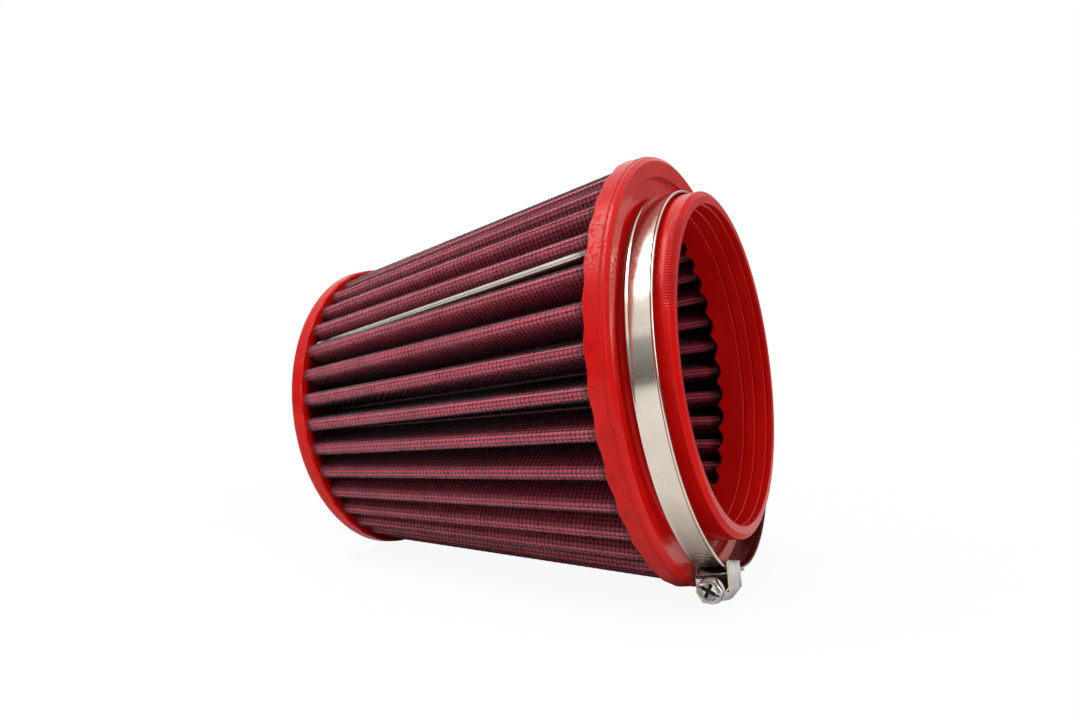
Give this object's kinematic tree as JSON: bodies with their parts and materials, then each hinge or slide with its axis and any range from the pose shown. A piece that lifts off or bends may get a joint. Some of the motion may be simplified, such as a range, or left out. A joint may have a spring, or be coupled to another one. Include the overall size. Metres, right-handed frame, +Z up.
{
  "type": "cone air filter",
  "caption": "Cone-shaped pleated intake air filter with a moulded neck, a closed end cap and a loose worm-drive hose clamp hanging on the neck.",
  "frame": {"origin": "centre of the neck's mouth, on the neck's axis", "axes": "+X along the neck's axis, out of the mouth; +Z up, so that the loose clamp hangs on the top of the neck"},
  "size_m": [0.1342, 0.1352, 0.1381],
  "materials": {
    "moulded_pu": "satin moulded polyurethane, red",
    "oiled_gauze": "oiled cotton gauze, crimson",
    "coated_wire": "epoxy-coated woven wire, dark grey",
    "seam_steel": "plain folded steel strip",
    "band_steel": "polished stainless strip",
    "plated_steel": "bright zinc plating"
  },
  "bodies": {
    "filter": {"neck_moulding": "moulded_pu", "end_cap": "moulded_pu", "gauze": "oiled_gauze", "outer_screen": "coated_wire", "inner_screen": "coated_wire", "seam_clip": "seam_steel", "clamp_band": "band_steel", "clamp_housing": "plated_steel"},
    "clamp_screw": {"clamp_screw": "plated_steel"}
  },
  "joints": [
    {"name": "screw_turn", "type": "hinge", "parent": "filter", "child": "clamp_screw", "pos_m": [-0.00658, -0.01846, -0.06614], "axis": [0.0137, -0.9815, 0.1907], "continuous": true}
  ]
}
